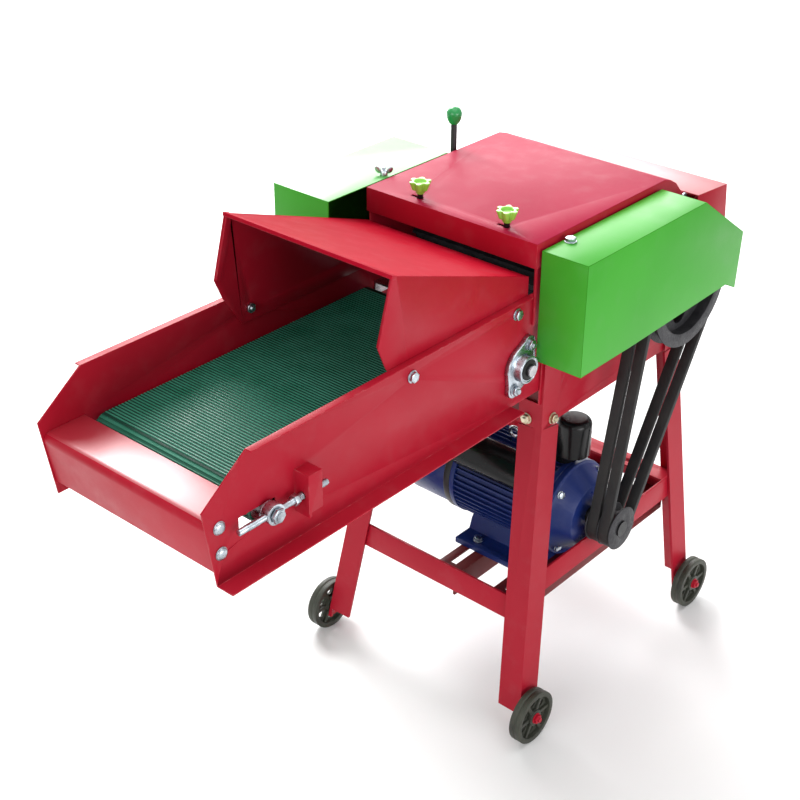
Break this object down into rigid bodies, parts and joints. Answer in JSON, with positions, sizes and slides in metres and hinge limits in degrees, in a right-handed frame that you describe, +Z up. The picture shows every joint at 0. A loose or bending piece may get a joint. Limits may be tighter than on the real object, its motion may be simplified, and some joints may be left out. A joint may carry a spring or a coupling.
{
  "type": "straw crusher",
  "caption": "Wheeled straw and chaff cutter with a ribbed feed belt, hood, bladed rotor under a hinged lid, belt and gear covers, discharge hood and an electric motor on an angle iron stand.",
  "frame": {"origin": "centre of the overall footprint, on the floor", "axes": "+Y along the feed, from the trough's mouth to the discharge; +X to the belt drive side; +Z up"},
  "size_m": [0.479, 1.027, 0.8295],
  "materials": {
    "red_paint": "gloss",
    "dark_red_paint": "gloss",
    "green_paint": "gloss",
    "blue_paint": "gloss",
    "black_paint": "satin",
    "olive_iron": "satin",
    "cast_iron": "matt",
    "tool_steel": "brushed",
    "zinc_steel": "satin",
    "lime_plastic": "gloss",
    "green_plastic": "gloss",
    "black_plastic": "satin",
    "teal_rubber": "matt",
    "black_rubber": "matt"
  },
  "bodies": {
    "frame": {"front_legs": "red_paint", "rear_legs": "red_paint", "front_crossbar": "red_paint", "rear_crossbar": "red_paint", "side_crossbars": "red_paint", "motor_rails": "dark_red_paint", "body_side_right": "red_paint", "body_side_left": "red_paint", "rotor_shroud": "red_paint", "cross_plates": "dark_red_paint", "fixed_blade": "tool_steel", "feed_plate": "tool_steel", "lid_bar": "tool_steel", "lid_pin": "zinc_steel", "discharge_hood": "red_paint", "belt_cover": "green_paint", "gear_cover": "green_paint", "fasteners": "zinc_steel", "rotor_bearings": "cast_iron", "roller_springs": "zinc_steel", "conveyor_belt": "teal_rubber", "belt_bed": "red_paint", "flange_bearings": "zinc_steel", "drive_chain": "tool_steel", "trough_side_right": "red_paint", "trough_side_left": "red_paint", "nose_box": "red_paint", "feed_hood": "red_paint", "motor_housing": "blue_paint", "motor_end_shields": "blue_paint", "fan_cover": "blue_paint", "capacitor_covers": "black_plastic", "v_belts": "black_rubber"},
    "rotor": {"rotor_shaft": "tool_steel", "rotor_drum": "cast_iron", "rotor_blades": "tool_steel", "main_pulley": "cast_iron"},
    "motor_armature": {"motor_rotor": "tool_steel", "motor_pulley": "cast_iron"},
    "idler": {"idler_shaft": "tool_steel", "reduction_gear": "cast_iron"},
    "shift_dog": {"shift_dog": "zinc_steel"},
    "shift_lever": {"shift_lever": "black_paint", "lever_ball": "green_plastic"},
    "lower_roller": {"lower_feed_roller": "cast_iron", "lower_gears": "cast_iron"},
    "roller_blocks": {"roller_blocks": "cast_iron"},
    "upper_roller": {"upper_feed_roller": "cast_iron", "upper_gear": "cast_iron"},
    "belt_drive": {"drive_roller": "tool_steel"},
    "tensioner": {"tension_screws": "zinc_steel"},
    "belt_return": {"tension_roller": "tool_steel"},
    "lid": {"lid": "red_paint"},
    "knob_left": {"star_knob_left": "lime_plastic"},
    "knob_right": {"star_knob_right": "lime_plastic"},
    "wheel_front_right": {"wheel_front_right": "olive_iron"},
    "wheel_front_left": {"wheel_front_left": "olive_iron"},
    "wheel_rear_right": {"wheel_rear_right": "olive_iron"},
    "wheel_rear_left": {"wheel_rear_left": "olive_iron"}
  },
  "joints": [
    {"name": "rotor_spin", "type": "hinge", "parent": "frame", "child": "rotor", "pos_m": [0, 0.3525, 0.631], "axis": [1, 0, 0], "continuous": true},
    {"name": "motor_spin", "type": "hinge", "parent": "frame", "child": "motor_armature", "pos_m": [0, 0.2225, 0.28], "axis": [1, 0, 0], "continuous": true},
    {"name": "idler_spin", "type": "hinge", "parent": "frame", "child": "idler", "pos_m": [0, 0.24323, 0.62393], "axis": [1, 0, 0], "continuous": true},
    {"name": "dog_shift", "type": "slide", "parent": "idler", "child": "shift_dog", "axis": [1, 0, 0], "range_m": [0, 0.0062]},
    {"name": "lever_swing", "type": "hinge", "parent": "frame", "child": "shift_lever", "pos_m": [-0.1425, 0.2675, 0.712], "axis": [0, -1, 0], "range_deg": [0, 4]},
    {"name": "lower_roller_spin", "type": "hinge", "parent": "frame", "child": "lower_roller", "pos_m": [0, 0.1945, 0.584], "axis": [1, 0, 0], "continuous": true},
    {"name": "block_lift", "type": "slide", "parent": "frame", "child": "roller_blocks", "axis": [0, 0, 1], "range_m": [0, 0.012], "stiffness_N_per_m": 3000, "deforming": ["roller_springs"]},
    {"name": "upper_roller_spin", "type": "hinge", "parent": "roller_blocks", "child": "upper_roller", "pos_m": [0, 0.1945, 0.677], "axis": [1, 0, 0], "continuous": true},
    {"name": "drive_roller_spin", "type": "hinge", "parent": "frame", "child": "belt_drive", "pos_m": [0, 0.0405, 0.602], "axis": [1, 0, 0], "continuous": true},
    {"name": "belt_slack", "type": "slide", "parent": "frame", "child": "tensioner", "axis": [0, 1, 0], "range_m": [0, 0.008]},
    {"name": "tension_roller_spin", "type": "hinge", "parent": "tensioner", "child": "belt_return", "pos_m": [0, -0.4215, 0.609], "axis": [1, 0, 0], "continuous": true},
    {"name": "lid_swing", "type": "hinge", "parent": "frame", "child": "lid", "pos_m": [0, 0.4145, 0.727], "axis": [-1, 0, 0], "range_deg": [0, 75]},
    {"name": "knob_left_spin", "type": "hinge", "parent": "lid", "child": "knob_left", "pos_m": [-0.049, 0.0825, 0.769], "axis": [0, 0, 1], "continuous": true},
    {"name": "knob_right_spin", "type": "hinge", "parent": "lid", "child": "knob_right", "pos_m": [0.099, 0.0825, 0.769], "axis": [0, 0, 1], "continuous": true},
    {"name": "wheel_front_right_spin", "type": "hinge", "parent": "frame", "child": "wheel_front_right", "pos_m": [0, 0.0305, 0.042], "axis": [1, 0, 0], "continuous": true},
    {"name": "wheel_front_left_spin", "type": "hinge", "parent": "frame", "child": "wheel_front_left", "pos_m": [0, 0.0305, 0.042], "axis": [1, 0, 0], "continuous": true},
    {"name": "wheel_rear_right_spin", "type": "hinge", "parent": "frame", "child": "wheel_rear_right", "pos_m": [0, 0.4685, 0.042], "axis": [1, 0, 0], "continuous": true},
    {"name": "wheel_rear_left_spin", "type": "hinge", "parent": "frame", "child": "wheel_rear_left", "pos_m": [0, 0.4685, 0.042], "axis": [1, 0, 0], "continuous": true}
  ],
  "couplings": [
    {"joint": "motor_spin", "follows": "rotor_spin", "ratio": 3.0979},
    {"joint": "idler_spin", "follows": "rotor_spin", "ratio": -0.2807},
    {"joint": "lower_roller_spin", "follows": "rotor_spin", "ratio": -0.14035},
    {"joint": "upper_roller_spin", "follows": "rotor_spin", "ratio": 0.14035},
    {"joint": "drive_roller_spin", "follows": "rotor_spin", "ratio": -0.14035},
    {"joint": "tension_roller_spin", "follows": "rotor_spin", "ratio": -0.20585},
    {"joint": "dog_shift", "follows": "lever_swing", "m_per_rad": 0.08807}
  ]
}
